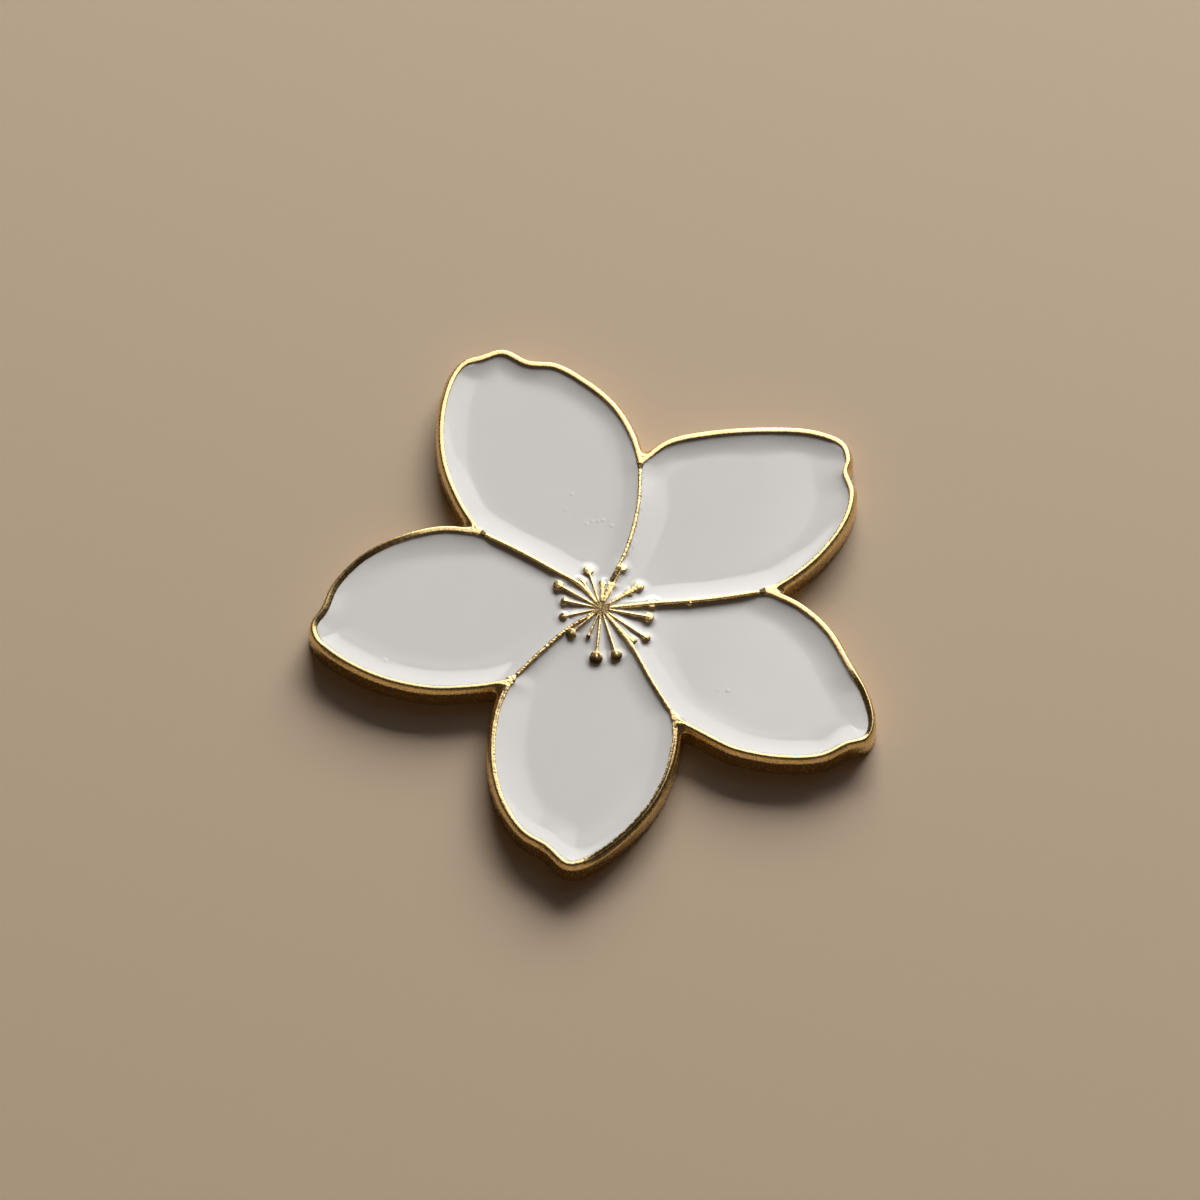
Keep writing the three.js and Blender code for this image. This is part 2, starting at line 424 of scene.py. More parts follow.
def catmull_rom(points):
    """A centripetal Catmull-Rom curve through the points, as the casting's outline is drawn."""
    p = np.array(points, float)
    p = np.vstack([2 * p[0] - p[1], p, 2 * p[-1] - p[-2]])
    knots = np.sqrt(np.linalg.norm(np.diff(p, axis=0), axis=1))
    t = np.linspace(0, 1, SPAN_STEPS, endpoint=False)[:, None]
    spans = []
    for i in range(1, len(p) - 2):
        x0, x1, x2, x3 = p[i - 1:i + 3]
        before, here, after = knots[i - 1:i + 2]
        start = ((x1 - x0) / before - (x2 - x0) / (before + here) + (x2 - x1) / here) * here
        end = ((x2 - x1) / here - (x3 - x1) / (here + after) + (x3 - x2) / after) * here
        spans.append(
            (2 * t**3 - 3 * t**2 + 1) * x1 + (t**3 - 2 * t**2 + t) * start
            + (3 * t**2 - 2 * t**3) * x2 + (t**3 - t**2) * end
        )
    return np.vstack([*spans, p[-2:-1]])


class Line:
    """A curve in plan as even samples: points, directions, left-hand normals and lengths."""

    def __init__(self, through, begins=0.0):
        rough = catmull_rom(through)
        length = np.concatenate([[0], np.cumsum(np.linalg.norm(np.diff(rough, axis=0), axis=1))])
        count = int(round(length[-1] / CURVE_STEP)) + 1
        even = np.linspace(0, length[-1], count)
        self.points = np.stack([np.interp(even, length, rough[:, k]) for k in (0, 1)], 1)
        ahead = np.gradient(self.points, axis=0)
        ahead /= np.linalg.norm(ahead, axis=1)[:, None]
        self.ahead = ahead
        self.left = np.stack([-ahead[:, 1], ahead[:, 0]], 1)
        self.length = begins + even

    def at(self, sample, offset):
        """Points at these fractional samples, moved to the left by the offset."""
        whole = np.arange(len(self.points))
        place = [np.interp(sample, whole, self.points[:, k]) for k in (0, 1)]
        normal = [np.interp(sample, whole, self.left[:, k]) for k in (0, 1)]
        return np.stack(place, 1) + np.stack(normal, 1) * np.reshape(offset, (-1, 1))

    def moved(self, offset):
        return self.points + self.left * offset

    def samples(self, step):
        """Fractional samples from end to end, about this far apart."""
        last = len(self.points) - 1
        return np.linspace(0, last, max(2, int(round(last * CURVE_STEP / step)) + 1))

    def part(self, kept):
        """The samples within a slice, as a line of their own."""
        piece = copy.copy(self)
        piece.points, piece.left = self.points[kept], self.left[kept]
        piece.ahead, piece.length = self.ahead[kept], self.length[kept]
        return piece

    def halves(self):
        """The line cut in two at its sample furthest from the middle of the flower."""
        far = int(np.argmax(np.linalg.norm(self.points, axis=1)))
        return self.part(slice(None, far + 1)), self.part(slice(far, None))


class Nearest:
    """Measures points in plan against the nearest of several lines."""

    def __init__(self, lines):
        self.points = np.vstack([line.points for line in lines])
        self.left = np.vstack([line.left for line in lines])
        self.ahead = np.vstack([line.ahead for line in lines])
        self.length = np.concatenate([line.length for line in lines])
        self.tree = KDTree(len(self.points))
        for i, (x, y) in enumerate(self.points):
            self.tree.insert((x, y, 0), i)
        self.tree.balance()

    def samples(self, points):
        """The number of the sample nearest to each point."""
        return np.array([self.tree.find((x, y, 0))[1] for x, y in points], int)

    def measure(self, points):
        """Distance from the nearest line, side and distance across it, and length along it."""
        found = self.samples(points)
        gap = points - self.points[found]
        across = np.sum(gap * self.left[found], axis=1)
        along = np.sum(gap * self.ahead[found], axis=1)
        beside = np.abs(along) <= CURVE_STEP
        distance = np.where(beside, np.abs(across), np.linalg.norm(gap, axis=1))
        return distance, across, self.length[found] + along

    def facing(self, points):
        """How far towards +Y the nearest line lies, from -1 to 1."""
        gap = self.points[self.samples(points)] - points
        return gap[:, 1] / np.maximum(np.linalg.norm(gap, axis=1), ALMOST_NOTHING)


def next_petal(index):
    return (index + 1) % len(names)


names = list(PETALS)
dividers = [Line(points, FIRST_DIVIDER + DIVIDERS_APART * i) for i, points in enumerate(DIVIDERS)]
rims = [
    Line([DIVIDERS[i][0], *PETALS[name], DIVIDERS[next_petal(i)][0]], RIMS_APART * i)
    for i, name in enumerate(names)
]
filaments = [Line([(0, 0), end]) for end, _ in STAMENS]

near_rim = Nearest(rims)
near_divider = Nearest(dividers)
near_rim_halves = [[Nearest([half]) for half in rim.halves()] for rim in rims]
near_divider_alone = [Nearest([divider]) for divider in dividers]


# Roughness along lines

def wobble(along, pitch, seed):
    """Random values between -1 and 1, one each pitch along a line, joined smoothly."""
    table = np.random.default_rng(seed).uniform(-1, 1, TABLE_SIZE)
    place = np.asarray(along) / pitch
    index = np.floor(place).astype(int)
    t = place - index
    t = t * t * (3 - 2 * t)
    return table[index % TABLE_SIZE] * (1 - t) + table[(index + 1) % TABLE_SIZE] * t


def rim_finish(along):
    """Lean, roughness and raggedness of the rims' tops at these lengths."""
    rows = np.array([
        (RIMS_APART * i + place, *finish)
        for i, name in enumerate(names)
        for place, *finish in RIM_FINISH[name]
    ])
    return [np.interp(along, rows[:, 0], rows[:, column]) for column in (1, 2, 3)]


def with_lean_shade(lean, finish):
    """The finish where a top leans: painted darker, as shade, the more it leans."""
    past_level = np.abs(lean) - LEVEL_LEAN
    return np.maximum(finish, np.where(past_level > 0, ROUGHEST + LEAN_SHADE * past_level, 0))


def turn_out(lean):
    """How far out the rim's top starts to turn over: further where it leans inwards."""
    return TURN_OUT + LEAN_SHIFT * np.maximum(lean, 0)


def rim_facing(along):
    """How far the rims' outer side faces +Y at these lengths, from -1 to 1."""
    return np.interp(along, near_rim.length, near_rim.left[:, 1])


def marks(along, across, seed):
    """Depth of the crossing file marks on a line's top."""
    one_way = wobble(along + MARK_SLANTS[0] * across, MARK_PITCH, seed)
    other_way = wobble(along + MARK_SLANTS[1] * across, COARSER * MARK_PITCH, seed + 1)
    return MARK_DEPTH * (1 + WEIGHTS[0] * one_way + WEIGHTS[1] * other_way)


def ragged(along, seed):
    """How far a line's edge strays outwards."""
    fine = wobble(along, MARK_PITCH, seed)
    coarse = wobble(along, RAGGED_PITCH, seed + 1)
    return EDGE_RAGGED * (WEIGHTS[0] * fine + WEIGHTS[1] * coarse)


# The metal's top. Each surface is a height, the length along and the distance across its line, and
# its finish.

def ridge(distance, along, across, half_width, seed, rough=1.0, lean=0.0, teeth=None):
    """Height of a raised line's surface at a distance from its centre line."""
    edge = half_width + (rough if teeth is None else teeth) * ragged(along, seed)
    crown = CROWN * np.minimum(distance / edge, 1) ** CROWN_POWER
    lowered = np.where(
        lean > 0,
        lean * np.clip(turn_out(lean) - across, 0, INWARD_SPAN * half_width),
        -lean * np.clip(across + half_width, 0, OUTWARD_SPAN * half_width),
    )
    past = np.maximum(distance - edge, 0)
    return THICKNESS - crown - lowered - rough * marks(along, across, seed + 2) - past * SIDE_SLOPE


def beside_segment(points, end):
    """Distance of points from the straight line between the middle and the end, length along it
    and distance to its left."""
    end = np.array(end)
    length = np.linalg.norm(end)
    share = np.clip(points @ end / (end @ end), 0, 1)
    gap = points - share[:, None] * end
    ahead = end / length
    return np.linalg.norm(gap, axis=1), share * length, points @ np.array([-ahead[1], ahead[0]])


def divider_surface(points):
    """The dividers, with the web at the start of each and the dip in one."""
    distance, across, along = near_divider.measure(points)
    index = np.floor((along - FIRST_DIVIDER) / DIVIDERS_APART + 0.5).astype(int)
    place = along - FIRST_DIVIDER - DIVIDERS_APART * index
    rough = np.array(DIVIDER_ROUGHNESS)[index]
    left_over = np.clip(1 - place / WEB_LENGTH, 0, 1)
    half_width = DIVIDER_HALF + WEB_SPREAD * left_over
    fall = np.clip((place - WEB_LEVEL) / (WEB_LENGTH - WEB_LEVEL), 0, 1)
    rise = np.clip((place - WEB_LENGTH) / WEB_END, 0, 1)
    drop = WEB_DROP * np.where(place < WEB_LENGTH, fall, (1 - rise) ** 2)
    dip = np.interp(place, *zip(*DIVIDER_DIP))
    drop = drop + np.where(index == DIPPED_DIVIDER, dip, 0)
    top = ridge(distance, along, across, half_width, DIVIDER_SEED, rough)
    return top - drop, along, across, rough


def fill_surface(points, index, rough):
    """The short ridge that fills the notch outside a corner."""
    corner, out = dividers[index].points[0], -dividers[index].ahead[0]
    distance, along, side = beside_segment(points - corner, NOTCH_FILL * out)
    half_width = NOTCH_HALF + NOTCH_SPREAD * along / NOTCH_FILL
    along = along + FILLS_APART * index
    return ridge(distance, along, side, half_width, FILL_SEED), along, side, rough


def slug_surface(points):
    """The rough low ridge beside one divider."""
    distance, along, side = beside_segment(points - SLUG[0], SLUG[1] - SLUG[0])
    top = ridge(distance, along, side, SLUG_HALF, SLUG_SEED, SLUG_ROUGHNESS)
    return top - SLUG_LEAN * (side + SLUG_HALF), along, side, SLUG_FINISH


def filament_surface(points, index):
    """One stamen's filament."""
    end = STAMENS[index][0]
    distance, along, side = beside_segment(points, end)
    half_width = FILAMENT_HALF + FLARES.get(index, 0) * (along / np.linalg.norm(end)) ** FLARE_POWER
    along = along + FILAMENTS_APART * index
    top = ridge(distance, along, side, half_width, FILAMENT_SEED + index)
    return top, along, side, LINE_FINISH


def head_surface(points, index):
    """One stamen's head."""
    end, radius = STAMENS[index]
    out = np.array(end) / np.linalg.norm(end)
    to_front = max(-out[1], 0)
    gap = points - np.array(end)
    spread = np.linalg.norm(gap, axis=1)
    lean_out = HEAD_LEAN + FRONT_HEAD_LEAN * to_front
    dome = THICKNESS - HEAD_DROP - lean_out * (gap @ out) - HEAD_CROWN * (spread / radius) ** 2
    dome -= np.maximum(spread - radius, 0) * SIDE_SLOPE
    dome -= marks(gap[:, 0] + HEADS_APART * index, gap[:, 1], HEAD_SEED + index)
    # Painted shade on the outer side of the heads at the front
    outer = np.clip(gap @ out / radius + HEAD_SHADE, 0, 1) * to_front
    finish = HEAD_SHADE_FINISH + (DARKEST - HEAD_SHADE_FINISH) * outer
    return dome, gap[:, 0] + FILAMENTS_APART * index, gap[:, 1], finish


def hub_surface(points, slope):
    """The rough hub, with what lies beyond its edge at this slope."""
    middle = np.linalg.norm(points, axis=1)
    turn = HUB_RADIUS * np.arctan2(points[:, 1], points[:, 0])
    rough_hub = THICKNESS - HUB_ROUGHNESS * marks(turn + HUB_START, HUB_SQUEEZE * middle, HUB_SEED)
    return rough_hub + slope * np.maximum(middle - HUB_RADIUS, 0), turn, middle, HUB_SHADE_FINISH


def burr_surface(points):
    distance, along, _ = beside_segment(points - BURR[0], BURR[1] - BURR[0])
    burr = THICKNESS - BURR_DROP - BURR_SLOPE * np.maximum(distance - BURR_HALF, 0)
    return np.where(distance < BURR_REACH, burr, 0), along, distance, LINE_FINISH


def fleck_surface(points):
    distance, along, _ = beside_segment(points - FLECK[0], FLECK[1] - FLECK[0])
    fleck = FLECK_HEIGHT - np.maximum(distance - FLECK_HALF, 0) * SIDE_SLOPE
    return fleck, along, distance, LINE_FINISH


def shade_and_slug_darkening(points):
    """The finish of the dark places: painted shade in the corner wedges and round the hub, and darker
    metal round the slug.
    """
    dark = np.zeros(len(points))
    for divider, darkness in zip(dividers, WEDGE_SHADE):
        gap = points - divider.points[0]
        inward, side = gap @ divider.ahead[0], np.abs(gap @ divider.left[0])
        wedge = np.minimum(inward - WEDGE_START, np.minimum(WEDGE_END - inward, WEDGE_HALF - side))
        dark = np.maximum(dark, DARKEST * darkness * np.clip(wedge / WEDGE_FADE, 0, 1))
    middle = np.linalg.norm(points, axis=1)
    near_hub = HUB_SHADE - HUB_SHADE_LOSS * middle / HUB_RADIUS
    dark = np.maximum(dark, HUB_SHADE_FINISH * np.clip(near_hub, 0, 1))
    distance, _, _ = beside_segment(points - SLUG[0], SLUG[1] - SLUG[0])
    return np.maximum(dark, SLUG_FINISH * np.clip(SLUG_DARK_REACH - distance / SLUG_HALF, 0, 1))


def metal_top(points):
    """Height of the metal over points inside the rim, and the line coordinates for its marks."""
    distance, across, along = near_rim.measure(points)
    lean, rough, teeth = rim_finish(along)
    inner_half = RIM_HALF + RIM_SHIFT * rim_facing(along)
    height = ridge(distance, along, across, inner_half, RIM_SEED, rough, lean, teeth)
    line = np.stack([along, across, with_lean_shade(lean, rough)], 1)
    surfaces = [divider_surface(points)]
    surfaces += [fill_surface(points, i, rough) for i in range(len(dividers))]
    surfaces.append(slug_surface(points))
    for i in range(len(STAMENS)):
        surfaces += [filament_surface(points, i), head_surface(points, i)]
    surfaces += [hub_surface(points, -SIDE_SLOPE), burr_surface(points), fleck_surface(points)]
    for surface, along, across, finish in surfaces:
        above = surface > height
        height = np.where(above, surface, height)
        line[above] = np.stack([along, across, np.broadcast_to(finish, along.shape)], 1)[above]
    height = np.minimum(height, hub_surface(points, HUB_RISE)[0])
    line[:, 2] = np.maximum(line[:, 2], shade_and_slug_darkening(points))
    return np.clip(height, FLOOR_HEIGHT, THICKNESS), line


# The outer wall

def wall_profile():
    """Levels of the wall from the back up to the rim's top edge: how far out, and how high."""
    facet_low = THICKNESS - FACET_DROP
    turned = TURN_OUT + TURN_RADIUS * math.sin(TURN_END)
    turned_height = THICKNESS - TURN_RADIUS * (1 - math.cos(TURN_END))
    levels = [
        (WALL_OUT - BACK_EDGE, 0.0),
        (WALL_OUT - BACK_TURN[0], BACK_TURN[1]),
        (WALL_OUT, BACK_EDGE),
        ((WALL_OUT + FACET_OUT) / 2, (BACK_EDGE + facet_low) / 2),
        (FACET_OUT + FACET_EDGE[0], facet_low - FACET_EDGE[1]),
    ]
    for share in FACET_SHARES:
        levels.append((
            FACET_OUT + (turned - FACET_OUT) * share + FACET_BULGE * 4 * share * (1 - share),
            facet_low + (turned_height - facet_low) * share,
        ))
    for step in range(TURN_STEPS, -1, -1):
        turn = TURN_END * step / TURN_STEPS
        levels.append((
            TURN_OUT + TURN_RADIUS * math.sin(turn),
            THICKNESS - TURN_RADIUS * (1 - math.cos(turn)),
        ))
    return levels


def cross(a, b):
    return a[..., 0] * b[..., 1] - a[..., 1] * b[..., 0]


def crossing(tail, head):
    """Where one polyline crosses another, as a fractional index on each."""
    start, step = tail[:-1, None], np.diff(tail, axis=0)[:, None]
    other, other_step = head[None, :-1], np.diff(head, axis=0)[None]
    turn = cross(step, other_step)
    turn[np.abs(turn) < ALMOST_NOTHING] = ALMOST_NOTHING
    t = cross(other - start, other_step) / turn
    u = cross(other - start, step) / turn
    hits = np.argwhere((t >= 0) & (t <= 1) & (u >= 0) & (u <= 1))
    if len(hits) == 0:
        return len(tail) - 1.0, 0.0
    i, j = hits[0]
    return i + t[i, j], j + u[i, j]


def trimmed(offset):
    """Samples where each rim starts and ends, once moved out this far and cut at its neighbours."""
    starts, ends = [0.0] * len(rims), [0.0] * len(rims)
    for i, rim in enumerate(rims):
        following = next_petal(i)
        tail = rim.moved(offset)[-CORNER_SAMPLES:]
        head = rims[following].moved(offset)[:CORNER_SAMPLES]
        last, first = crossing(tail, head)
        ends[i] = len(rim.points) - len(tail) + last
        starts[following] = first
    return list(zip(starts, ends))


def round_notches(points, sample, index, ends, out):
    """Moves a rim's points near its two corners onto the curves that round off the notches."""
    reach = NOTCH_REACH / CURVE_STEP
    rim, (start, end) = rims[index], ends[index]
    last_end, next_start = ends[index - 1][1], ends[next_petal(index)][0]
    notches = (
        (start, rims[index - 1].at([last_end - reach], out), rim.at([start + reach], out)),
        (end, rim.at([end - reach], out), rims[next_petal(index)].at([next_start + reach], out)),
    )
    for corner, before, after in notches:
        past = (sample - corner) * CURVE_STEP
        near = np.abs(past) < NOTCH_REACH
        t = (0.5 + past[near] / (2 * NOTCH_REACH))[:, None]
        middle = rim.at([corner], out)
        points[near] = (1 - t) ** 2 * before + 2 * t * (1 - t) * middle + t**2 * after


def wall_ring(out, height):
    """One level ring round the flower: its points, their heights and line coordinates."""
    rings = []
    ends = trimmed(out)
    up = height / THICKNESS
    near_top = np.clip((height - THICKNESS + FACET_DROP) / FACET_DROP, 0, 1)
    at_top = near_top**NEAR_TOP_POWER
    for i, (rim, (start, end)) in enumerate(zip(rims, ends)):
        count = int(round(len(rim.points) * CURVE_STEP / RING_STEP))
        sample = np.linspace(start, end, count, endpoint=False)
        along = np.interp(sample, np.arange(len(rim.length)), rim.length)
        lean, rough, teeth = rim_finish(along)
        fade = np.clip(np.minimum(sample - start, end - sample) * CURVE_STEP / CORNER_FADE, 0, 1)
        bites = teeth * (1 + wobble(along, MARK_PITCH, WALL_SEED))
        shift = -fade * EDGE_RAGGED * bites * WALL_RAGGED * at_top
        shift += fade * (turn_out(lean) - TURN_OUT) * near_top**2
        shift -= fade * DENT * (1 + wobble(along, DENT_PITCH, WALL_SEED + 1))
        waves = sum(
            size * wobble(along, pitch, WALL_SEED + 2 + k)
            for k, (size, pitch) in enumerate(FACET_WAVES)
        )
        lift = fade * waves * 4 * up * (1 - up)
        lift -= fade * np.maximum(-lean, 0) * (TURN_OUT + RIM_HALF) * near_top
        points = rim.at(sample, out + shift)
        round_notches(points, sample, i, ends, out)
        finish = WALL_FINISH + (rough - WALL_FINISH) * at_top
        if up > TOP_SHARE:
            finish = with_lean_shade(lean, finish)
        rings.append(np.column_stack([points, height + lift, along, np.full(count, out), finish]))
    return np.vstack(rings)


# Meshes

def sides_of(face):
    return [frozenset(side) for side in zip(face, face[1:] + face[:1])]


def without_outside(faces, fence):
    """The faces inside a fence of edges. Those reached from the hull without crossing it go."""
    beside = {}
    for number, face in enumerate(faces):
        for side in sides_of(face):
            beside.setdefault(side, []).append(number)
    spread = [found[0] for side, found in beside.items() if len(found) == 1 and side not in fence]
    outside = set()
    while spread:
        number = spread.pop()
        if number not in outside:
            outside.add(number)
            for side in sides_of(faces[number]):
                if side not in fence:
                    spread += beside[side]
    return [face for number, face in enumerate(faces) if number not in outside]


def triangulate(points, loop_size):
    """Triangles between points in plan, inside the loop that the first points make, and the place
    in the result of each point of the loop."""
    edges = [(i, (i + 1) % loop_size) for i in range(loop_size)]
    flat = [Vector(p) for p in points]
    out, _, faces, sources, _, _ = delaunay_2d_cdt(flat, edges, [], 0, MERGE_WITHIN, True)
    place = {given: i for i, source in enumerate(sources) for given in source if given < loop_size}
    fence = {frozenset((place[a], place[b])) for a, b in edges}
    faces = without_outside([tuple(face) for face in faces], fence)
    return np.array([tuple(p) for p in out]), faces, [place[i] for i in range(loop_size)]


def underside(loop, first):
    """Downward faces within a loop whose points are numbered from the first one on."""
    _, faces, edge = triangulate(loop, len(loop))
    number = {corner: first + i for i, corner in enumerate(edge)}
    return [tuple(number[corner] for corner in reversed(face)) for face in faces]


def bridge(low, high):
    """Outward faces between two rings of as many points, one above the other."""
    size = len(low)
    return [
        (low[(i + 1) % size], low[i], high[i], high[(i + 1) % size])
        for i in range(size)
    ]


def inside(points, loop):
    """The points that lie within a closed loop in plan."""
    x, y = points[:, :1], points[:, 1:]
    x0, y0 = loop.T
    x1, y1 = np.roll(loop, -1, axis=0).T
    rise = np.where(y1 == y0, ALMOST_NOTHING, y1 - y0)
    passed = ((y0 > y) != (y1 > y)) & (x < x0 + (y - y0) * (x1 - x0) / rise)
    return points[passed.sum(axis=1) % 2 == 1]


def thinned(points, cell):
    """The points with at most one in each small square, the first one kept."""
    _, first = np.unique(np.floor(points / cell).astype(int), axis=0, return_index=True)
    return points[np.sort(first)]


def grid_points(step, reach):
    """A grid round the middle, with every other row moved by half a step."""
    row = np.arange(-reach, reach, step)
    x, y = np.meshgrid(row, row)
    x = x + (np.arange(len(row)) % 2)[:, None] * step / 2
    return np.column_stack([x.ravel(), y.ravel()])


def line_points(lines, offsets, step):
    return np.vstack([line.at(line.samples(step), offset) for line in lines for offset in offsets])


def make_mesh(name, vertices, faces, line=None):
    mesh = bpy.data.meshes.new(name)
    mesh.from_pydata((np.asarray(vertices) * MM).tolist(), [], faces)
    if line is not None:
        attribute = mesh.attributes.new("line", "FLOAT_VECTOR", "POINT")
        attribute.data.foreach_set("vector", line.astype(np.float32).ravel())
    mesh.shade_smooth()
    mesh.validate()
    piece = bpy.data.objects.new(name, mesh)
    bpy.context.scene.collection.objects.link(piece)
    return piece


# The casting

def rim_points():
    """Points along lines parallel to the rims, inside the outer edge."""
    found = []
    for offset in RIM_OFFSETS:
        for rim in rims:
            sample = rim.samples(RING_STEP)
            kept = sample[(sample > 1) & (sample < len(rim.points) - 2)]
            found.append(rim.at(kept, offset))
    return np.vstack(found)


def head_points():
    """Rings of points on the stamens' heads."""
    found = []
    for end, radius in STAMENS:
        for share, count in HEAD_RINGS:
            turn = np.arange(count) * 2 * math.pi / count + share
            ring = np.stack([np.cos(turn), np.sin(turn)], 1)
            found.append(np.array(end) + share * radius * ring)
    return np.vstack(found)


def top_points(edge_loop):
    """Points in plan for the metal's top, close together where it has detail."""
    corners = np.vstack([divider.points[0] + grid_points(*CORNER_GRID) for divider in dividers])
    floor_loop = np.vstack([rim.moved(-FLOOR_INSET)[::LOOP_SKIP] for rim in rims])
    return thinned(np.vstack([
        rim_points(),
        line_points(dividers, DIVIDER_OFFSETS, DIVIDER_STEP),
        line_points(filaments, FILAMENT_OFFSETS, FILAMENT_STEP),
        head_points(),
        grid_points(*HUB_GRID),
        BURR[0] + grid_points(*BURR_GRID),
        FLECK[0] + grid_points(*FLECK_GRID),
        inside(corners, edge_loop),
        inside(grid_points(*FLOOR_GRID), floor_loop),
    ]), METAL_CELL)


def metal_piece():
    """The casting as one closed mesh: back, wall, rim, dividers, stamens and petal floors."""
    levels = [wall_ring(out, height) for out, height in wall_profile()]
    top_ring = levels[-1]
    size = len(top_ring)
    edge_loop = top_ring[:, :2]
    plan, top, edge = triangulate(np.vstack([edge_loop, top_points(edge_loop)]), size)
    height, line = metal_top(plan)
    plan = np.column_stack([plan, height, line])
    plan[edge] = top_ring
    wall = np.vstack(levels[:-1])
    rows = [list(range(start, start + size)) for start in range(0, len(wall), size)]
    rows.append([len(wall) + i for i in edge])
    faces = [tuple(len(wall) + i for i in face) for face in top]
    for low, high in zip(rows, rows[1:]):
        faces += bridge(low, high)
    faces += underside(levels[0][:, :2], 0)
    everything = np.vstack([wall, plan])
    piece = make_mesh("flower_metal", everything[:, :3], faces, everything[:, 3:])
    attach(piece, "root")
    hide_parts("metal_body")
    return piece


# Enamel

def climb(gap, height, reach):
    """Rise of the enamel at a gap from the metal, in a curve that ends level at its reach."""
    return height * (1 - np.clip(gap / reach, 0, 1)) ** 2


def reach_along(along, seed):
    """How far out the enamel's rise reaches at these lengths."""
    return RIM_REACH * (1 + REACH_VARIATION * wobble(along, REACH_PITCH, seed))


def line_rise(points, index):
    """Rise of one petal's enamel to its rim and its two dividers."""
    rises = []
    for half in near_rim_halves[index]:
        distance, _, along = half.measure(points)
        settled = LEAN_SETTLE * np.maximum(rim_finish(along)[0], 0)
        height = RIM_CLIMB + RIM_CLIMB_SHIFT * rim_facing(along) - settled
        rises.append(climb(distance - RIM_HALF, height, reach_along(along, ENAMEL_SEED)))
    for beside in (index, next_petal(index)):
        divider = near_divider_alone[beside]
        distance, _, along = divider.measure(points)
        lower_side = np.maximum(divider.facing(points), 0)
        height = DIVIDER_CLIMB * (1 - LOWER_CLIMB_LOSS * lower_side)
        reach = reach_along(along, ENAMEL_SEED + 1 + beside) * (1 - LOWER_REACH_LOSS * lower_side)
        rises.append(climb(distance - DIVIDER_HALF, height, reach))
    return np.sum(np.power(rises, BLEND_POWER), axis=0) ** (1 / BLEND_POWER)


def enamel_top(points, index):
    """Height of one petal's enamel, which climbs a little wherever it meets the metal."""
    hill = HUB_HILL * np.exp(-np.sum(points**2, axis=1) / HUB_SPREAD**2)
    small = np.zeros(len(points))
    for end, radius in STAMENS:
        distance, _, _ = beside_segment(points, end)
        spread = np.linalg.norm(points - np.array(end), axis=1)
        gap = np.minimum(distance - FILAMENT_HALF, spread - radius)
        small = np.maximum(small, climb(gap, STAMEN_CLIMB, STAMEN_REACH))
    for x, y, speck in SPECKS:
        spread = np.linalg.norm(points - (x, y), axis=1)
        small += speck * np.exp(-(spread / SPECK_RADIUS) ** 2)
    rise = np.hypot(line_rise(points, index), hill) + small
    return ENAMEL_MIDDLE + np.minimum(rise, HIGHEST_CLIMB)


def cell_loop(index):
    """Edge of one petal's enamel, tucked a little into the metal all round."""
    following = next_petal(index)
    rim_edge, divider_edge = RIM_HALF - RIM_TUCK, DIVIDER_HALF - TUCK
    rim = rims[index].moved(-rim_edge)[::CELL_SKIP]
    after = dividers[following].moved(-divider_edge)[::CELL_SKIP]
    before = dividers[index].moved(divider_edge)[::CELL_SKIP][::-1]

    def clear(points, line, least):
        return points[line.measure(points)[0] > least - BARELY]

    rim = clear(rim, near_divider, divider_edge)
    after = clear(after, near_rim, rim_edge)
    after = clear(after, near_divider_alone[index], divider_edge)
    before = clear(before, near_rim, rim_edge)
    before = clear(before, near_divider_alone[following], divider_edge)
    return np.vstack([rim, after, before])


def enamel_points(index, loop):
    """Points in plan for one petal's enamel, close together by the metal and its small detail."""
    low, high = loop.min(axis=0), loop.max(axis=0)
    near_specks = [np.array([x, y]) + grid_points(*SPECK_GRID) for x, y, _ in SPECKS]
    grid = np.vstack([*near_specks, grid_points(*STAMEN_GRID), grid_points(*PETAL_GRID)])
    grid = grid[np.all((grid > low) & (grid < high), axis=1)]
    rows = [
        line_points([line], [side * (half_width + depth) for depth in ENAMEL_DEPTHS], ENAMEL_LINE_STEP)
        for line, side, half_width in (
            (rims[index], -1, RIM_HALF),
            (dividers[index], 1, DIVIDER_HALF),
            (dividers[next_petal(index)], -1, DIVIDER_HALF),
        )
    ]
    points = inside(thinned(np.vstack([*rows, grid]), ENAMEL_CELL), loop)
    past_rim = near_rim.measure(points)[0] - RIM_HALF
    past_divider = near_divider.measure(points)[0] - DIVIDER_HALF
    return points[np.minimum(past_rim, past_divider) > ENAMEL_CLEARANCE]


def enamel_piece(index):
    """One petal's enamel as a closed mesh."""
    name = names[index]
    loop = cell_loop(index)
    size = len(loop)
    plan, faces, edge = triangulate(np.vstack([loop, enamel_points(index, loop)]), size)
    first = len(plan)
    vertices = np.vstack([
        np.column_stack([plan, enamel_top(plan, index)]),
        np.column_stack([loop, np.full(size, ENAMEL_BOTTOM)]),
    ])
    faces += underside(loop, first)
    faces += bridge(list(range(first, first + size)), edge)
    piece = make_mesh(f"flower_enamel_{name}", vertices, faces)
    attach(piece, "root")
    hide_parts(f"enamel_{name}")
    return piece


# Materials

def new_material(name):
    material = bpy.data.materials.new(name)
    material.use_nodes = True
    return material, material.node_tree, material.node_tree.nodes["Principled BSDF"]


def feed(tree, value, socket):
    """Gives a socket another node's output, or a number or colour that is the same all over."""
    if isinstance(value, bpy.types.NodeSocket):
        tree.links.new(value, socket)
    elif isinstance(value, tuple):
        socket.default_value = (*value, 1)
    else:
        socket.default_value = value


def add_noise(tree, vector, scale, detail):
    noise = tree.nodes.new("ShaderNodeTexNoise")
    noise.inputs["Scale"].default_value = scale
    noise.inputs["Detail"].default_value = detail
    tree.links.new(vector, noise.inputs["Vector"])
    return noise.outputs["Fac"]


